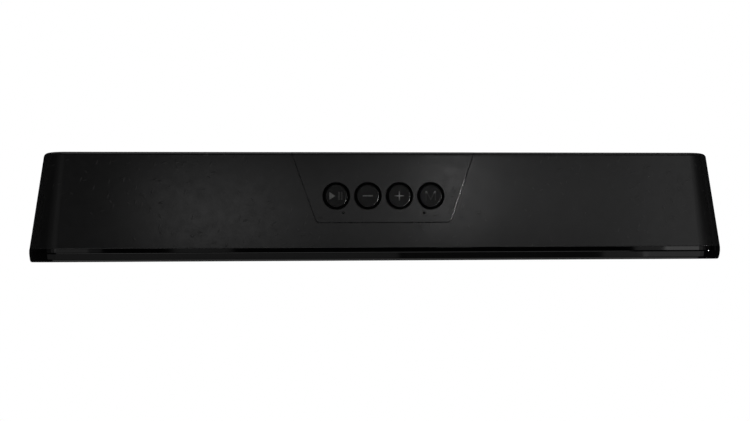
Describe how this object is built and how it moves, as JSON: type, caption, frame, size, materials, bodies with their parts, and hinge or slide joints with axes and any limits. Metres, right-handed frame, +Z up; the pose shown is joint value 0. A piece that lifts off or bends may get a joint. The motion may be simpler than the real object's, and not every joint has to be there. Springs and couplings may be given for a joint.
{
  "type": "soundbar",
  "caption": "Compact desktop soundbar: tapered matt black housing, gloss front bezel, steel grille, top control panel with round push keys, and ports at the rear.",
  "frame": {"origin": "centre of the footprint's bounding box, at the underside of the feet", "axes": "+X to the right seen from the front, +Y to the rear, +Z up; the grille faces -Y"},
  "size_m": [0.4, 0.0616, 0.058],
  "materials": {
    "housing_black": "fine spark-eroded texture",
    "inner_black": "moulded",
    "bezel_gloss": "piano gloss",
    "grille_black": "perforated steel, powder coated",
    "foam_black": "closed-cell foam",
    "foot_rubber": "matt",
    "black_screw": "black zinc",
    "panel_black": "fine texture",
    "button_black": "satin",
    "plunger_ivory": "moulded",
    "switch_black": "moulded",
    "board_green": "solder mask on glass-fibre laminate",
    "clear_plastic": "clear acrylic, stood in for by glass",
    "plated_steel": "nickel plated",
    "plated_screw": "zinc plated",
    "capacitor_sleeve": "shrink sleeve",
    "basket_steel": "stamped steel",
    "motor_steel": "zinc plated",
    "ferrite": "sintered ferrite, stood in for by cast iron",
    "copper_coil": "enamelled copper, stood in for by brass",
    "spider_cloth": "resin-treated cloth",
    "cone_black": "polypropylene",
    "surround_rubber": "moulded rubber",
    "cell_wrap": "shrink wrap",
    "lead_sleeve": "PVC sleeve"
  },
  "bodies": {
    "enclosure": {"rear_housing": "housing_black", "front_baffle": "inner_black", "front_bezel": "bezel_gloss", "front_grille": "grille_black", "baffle_gasket": "foam_black", "rubber_feet": "foot_rubber", "baffle_screws": "black_screw", "control_panel": "panel_black", "tact_switches": "switch_black", "control_board": "board_green", "status_led": "clear_plastic", "light_pipe": "clear_plastic", "microphone": "plated_steel", "microphone_boot": "foot_rubber", "main_board": "board_green", "board_screws": "plated_screw", "usb_c_socket": "plated_steel", "usb_a_socket": "plated_steel", "aux_jack": "switch_black", "power_switch_body": "plated_steel", "bluetooth_module": "plated_steel", "amplifier_chip": "switch_black", "capacitors": "capacitor_sleeve", "wire_headers": "plunger_ivory", "left_driver_basket": "basket_steel", "left_driver_top_plate": "motor_steel", "left_driver_magnet": "ferrite", "left_driver_yoke": "motor_steel", "left_driver_spider": "spider_cloth", "left_driver_surround": "surround_rubber", "right_driver_basket": "basket_steel", "right_driver_top_plate": "motor_steel", "right_driver_magnet": "ferrite", "right_driver_yoke": "motor_steel", "right_driver_spider": "spider_cloth", "right_driver_surround": "surround_rubber", "driver_gaskets": "foam_black", "driver_screws": "black_screw", "radiator_frame": "switch_black", "radiator_surround": "surround_rubber", "battery_cells": "cell_wrap", "battery_cradle": "switch_black", "speaker_leads": "lead_sleeve", "board_leads": "lead_sleeve"},
    "play_pause_key": {"play_pause_button": "button_black", "play_pause_plunger": "plunger_ivory"},
    "volume_down_key": {"volume_down_button": "button_black", "volume_down_plunger": "plunger_ivory"},
    "volume_up_key": {"volume_up_button": "button_black", "volume_up_plunger": "plunger_ivory"},
    "mode_key": {"mode_button": "button_black", "mode_plunger": "plunger_ivory"},
    "power_knob": {"power_switch_knob": "switch_black"},
    "left_moving_parts": {"left_driver_cone": "cone_black", "left_driver_dust_cap": "cone_black", "left_driver_voice_coil": "copper_coil"},
    "right_moving_parts": {"right_driver_cone": "cone_black", "right_driver_dust_cap": "cone_black", "right_driver_voice_coil": "copper_coil"},
    "radiator_plate": {"radiator_diaphragm": "cone_black"}
  },
  "joints": [
    {"name": "play_pause_press", "type": "slide", "parent": "enclosure", "child": "play_pause_key", "axis": [0, -0.0554, -0.9985], "range_m": [0, 0.0005], "stiffness_N_per_m": 1500},
    {"name": "volume_down_press", "type": "slide", "parent": "enclosure", "child": "volume_down_key", "axis": [0, -0.0554, -0.9985], "range_m": [0, 0.0005], "stiffness_N_per_m": 1500},
    {"name": "volume_up_press", "type": "slide", "parent": "enclosure", "child": "volume_up_key", "axis": [0, -0.0554, -0.9985], "range_m": [0, 0.0005], "stiffness_N_per_m": 1500},
    {"name": "mode_press", "type": "slide", "parent": "enclosure", "child": "mode_key", "axis": [0, -0.0554, -0.9985], "range_m": [0, 0.0005], "stiffness_N_per_m": 1500},
    {"name": "power_slide", "type": "slide", "parent": "enclosure", "child": "power_knob", "axis": [1, 0, 0], "range_m": [0, 0.004]},
    {"name": "left_cone_stroke", "type": "slide", "parent": "enclosure", "child": "left_moving_parts", "axis": [0, -1, 0], "range_m": [-0.0015, 0.0015], "stiffness_N_per_m": 1300, "deforming": ["left_driver_surround", "left_driver_spider"]},
    {"name": "right_cone_stroke", "type": "slide", "parent": "enclosure", "child": "right_moving_parts", "axis": [0, -1, 0], "range_m": [-0.0015, 0.0015], "stiffness_N_per_m": 1300, "deforming": ["right_driver_surround", "right_driver_spider"]},
    {"name": "radiator_stroke", "type": "slide", "parent": "enclosure", "child": "radiator_plate", "axis": [0, -1, 0], "range_m": [-0.002, 0.002], "stiffness_N_per_m": 800, "deforming": ["radiator_surround"]}
  ]
}
